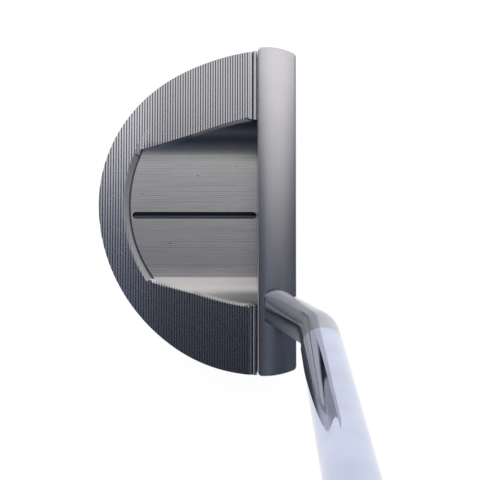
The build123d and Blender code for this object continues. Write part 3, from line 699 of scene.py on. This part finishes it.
def satin_nickel():
    """Plated steel, nearly a mirror, with faint unevenness from the polishing belt."""
    nickel = Finish("satin_nickel")
    tree = nickel.tree
    grain = nickel.group(grain_group, Place=nickel.place, Fineness=1.5)
    wear = nickel.group(wear_group, Place=nickel.place, Width=0.15 * mm, Patches=0.6)["Wear"]
    colour = blend_colours(tree, grain["Clouds"], NECK_NICKEL, NECK_NICKEL_DULL)
    # painted shade: the nickel darkens towards the neck's foot
    foot_shade = ramp(tree, nickel.x, *NECK_FOOT_FADE, 1.0, 0.0)
    colour = blend_colours(tree, foot_shade, colour, NECK_FOOT_SHADE)
    colour = blend_colours(tree, multiply(tree, wear, NECK_WEAR), colour, BLOCK_BRIGHT_EDGE)
    roughness = ramp(tree, grain["Clouds"], 0.0, 1.0, *NECK_GLOSS)
    heel_side = ramp(tree, nickel.facing_y, *HEEL_SIDE, 1.0, 0.0)
    roughness = calculate(tree, "MULTIPLY_ADD", heel_side, HEEL_SIDE_DULL, roughness)
    shine = calculate(tree, "MULTIPLY_ADD", heel_side, HEEL_SIDE_SHINE_LOST, 1.0)
    tree.links.new(shine, nickel.shader.inputs["Metallic"])
    return nickel.finish(colour, roughness, nickel.relief(grain["Height"], NECK_POLISH))


finish_node("neck", satin_nickel())

# ---- shaft ------------------------------------------------------------------
# Drawn steel tube, stepped thinner towards the head, copper-nickel-chrome plated to a mirror and
# glued over the neck's spigot.
SHAFT_CHROME = (0.58, 0.62, 0.78, 1.0)
SHAFT_CHROME_HAZE = (0.53, 0.57, 0.72, 1.0)
SHAFT_GLOSS = (0.02, 0.05)
SHAFT_WAVES = 0.003


def mirror_chrome():
    """Bright chrome with a slight haze from handling."""
    chrome = Finish("mirror_chrome")
    tree = chrome.tree
    grain = chrome.group(grain_group, Place=chrome.place, Fineness=0.5)
    colour = blend_colours(tree, grain["Clouds"], SHAFT_CHROME, SHAFT_CHROME_HAZE)
    roughness = ramp(tree, grain["Clouds"], 0.0, 1.0, *SHAFT_GLOSS)
    return chrome.finish(colour, roughness, chrome.relief(grain["Height"], SHAFT_WAVES))


finish_node("shaft", mirror_chrome())

# ---- grip -------------------------------------------------------------------
# A paper double-sided tape is wound on the shaft, and a moulded rubber sleeve is slid over it.
# The sleeve has a flat for the thumbs and raised pads all round, left plain at both ends, with
# a rounded mouth. A hard rubber cap closes the butt.
TAPE_PAPER = (0.70, 0.63, 0.47, 1.0)
TAPE_BROWN = (0.58, 0.50, 0.35, 1.0)
TAPE_DULL = 0.8
TAPE_CREPE = 0.05
RUBBER_BLACK = (0.020, 0.020, 0.022, 1.0)
RUBBER_GREY = (0.036, 0.036, 0.038, 1.0)
RUBBER_WORN = (0.075, 0.074, 0.072, 1.0)
RUBBER_GLOSS = (0.60, 0.80)
RUBBER_TOOTH = 0.03
SHAFT_FOOT = Vector((15.1, -13.7, 0.0)) * mm     # the shaft's axis meets the ground here
LIE_ANGLE = radians(72.0)
SHAFT_AXIS = Vector((0.0, -cos(LIE_ANGLE), sin(LIE_ANGLE)))
THUMB_SIDE = Vector((0.0, sin(LIE_ANGLE), cos(LIE_ANGLE)))
GRIP_MOUTH = 593.0 * mm      # along the axis from the ground
GRIP_LENGTH = 267.0 * mm
GRIP_RADII = (9.75 * mm, 12.256 * mm, 14.5 * mm)     # mouth, pull of the curve, butt
GRIP_FLAT = (8.6 * mm, 11.4 * mm)                    # axis to thumb flat, mouth and butt
GRIP_BORE = 7.6 * mm
GRIP_ROWS = 70
FLAT_CELLS = 5               # pads across the thumb flat, and round the rest
ROUND_CELLS = 17
PLAIN_ROWS = 4               # without pads, at either end
PAD_HEIGHT = 0.40 * mm
FLAT_PAD_HEIGHT = 0.25 * mm
PAD_SLOPE = 0.45 * mm
MOUTH_ROUND = 0.5 * mm
MOUTH_STEPS = ((0.35, 0.3), (0.0, 0.65), (0.0, 1.0))     # shares of it, along and inwards


def masking_tape():
    """Creped paper tape."""
    tape = Finish("masking_tape", metallic=0.0)
    tree = tape.tree
    grain = tape.group(grain_group, Place=tape.place, Fineness=2.5)
    colour = blend_colours(tree, grain["Height"], TAPE_PAPER, TAPE_BROWN)
    return tape.finish(colour, TAPE_DULL, tape.relief(grain["Height"], TAPE_CREPE))


def moulded_rubber():
    """Matt black rubber with the fine tooth of its mould, greyed where hands have rubbed it."""
    rubber = Finish("moulded_rubber", metallic=0.0)
    tree = rubber.tree
    grain = rubber.group(grain_group, Place=rubber.place, Fineness=3.0)
    wear = rubber.group(wear_group, Place=rubber.place, Width=0.3 * mm, Patches=0.12)["Wear"]
    colour = blend_colours(tree, grain["Clouds"], RUBBER_BLACK, RUBBER_GREY)
    colour = blend_colours(tree, wear, colour, RUBBER_WORN)
    roughness = ramp(tree, grain["Height"], *GRAIN_SPAN, *RUBBER_GLOSS)
    return rubber.finish(colour, roughness, rubber.relief(grain["Height"], RUBBER_TOOTH))


def on_axis(distance):
    """A point of the shaft's axis."""
    return SHAFT_FOOT + SHAFT_AXIS * distance


def grip_point(along, cell, sink):
    """A point of the sleeve: so far from its mouth, at a cell round it, sunk below its surface."""
    share = along / GRIP_LENGTH
    mouth, pull, butt = GRIP_RADII
    radius = (1 - share) ** 2 * mouth + 2 * share * (1 - share) * pull + share ** 2 * butt - sink
    flat = GRIP_FLAT[0] + (GRIP_FLAT[1] - GRIP_FLAT[0]) * share - sink
    corner = acos(flat / radius)
    if cell <= FLAT_CELLS:
        across = radius * sin(corner) * (2 * cell / FLAT_CELLS - 1)
        forward = flat
    else:
        turn = corner + (tau - 2 * corner) * (cell - FLAT_CELLS) / ROUND_CELLS
        across = radius * sin(turn)
        forward = radius * cos(turn)
    return on_axis(GRIP_MOUTH + along) + Vector((across, 0, 0)) + THUMB_SIDE * forward


def bore_point(along, cell):
    """A point of the bore that faces the same cell of the outside."""
    outside = grip_point(along, cell, 0.0)
    centre = on_axis(GRIP_MOUTH + along)
    return centre + (outside - centre).normalized() * GRIP_BORE


def padded_sleeve():
    """The sleeve, sunk by the height of its pads, with the pads then raised out of its cells."""
    shape = bmesh.new()
    cells = range(FLAT_CELLS + ROUND_CELLS)
    rings = []
    for row in range(GRIP_ROWS + 1):
        along = GRIP_LENGTH * row / GRIP_ROWS
        rings.append([shape.verts.new(grip_point(along, cell, PAD_HEIGHT)) for cell in cells])
    for along, sink in MOUTH_STEPS:
        inwards = PAD_HEIGHT + sink * MOUTH_ROUND
        ring = [shape.verts.new(grip_point(along * MOUTH_ROUND, cell, inwards)) for cell in cells]
        rings.insert(0, ring)
    for vertex, cell in zip(rings[len(MOUTH_STEPS)], cells):
        vertex.co = grip_point(MOUTH_ROUND, cell, PAD_HEIGHT)
    rings.insert(0, [shape.verts.new(bore_point(0.0, cell)) for cell in cells])
    rings.append([shape.verts.new(bore_point(GRIP_LENGTH, cell)) for cell in cells])
    join_rings(shape, rings + rings[:1])
    shape.faces.ensure_lookup_table()

    # The pads rise along the faces' normals, so these have to point out of the rubber first.
    bmesh.ops.recalc_face_normals(shape, faces=shape.faces)
    mouth_rows = len(MOUTH_STEPS) + 1
    padded = range(mouth_rows + PLAIN_ROWS, mouth_rows + GRIP_ROWS - PLAIN_ROWS)
    for columns, height in ((cells[:FLAT_CELLS], FLAT_PAD_HEIGHT), (cells[FLAT_CELLS:], PAD_HEIGHT)):
        pads = [shape.faces[len(cells) * row + cell] for row in padded for cell in columns]
        bmesh.ops.inset_individual(shape, faces=pads, thickness=PAD_SLOPE, depth=height,
                                   use_even_offset=True)
        shape.faces.ensure_lookup_table()
    return shape


finish_node("grip_tape", masking_tape())
rubber_finish = moulded_rubber()
finish_node("grip_cap", rubber_finish)
grip = new_piece("padded_grip", padded_sleeve(), rubber_finish)
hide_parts("grip")
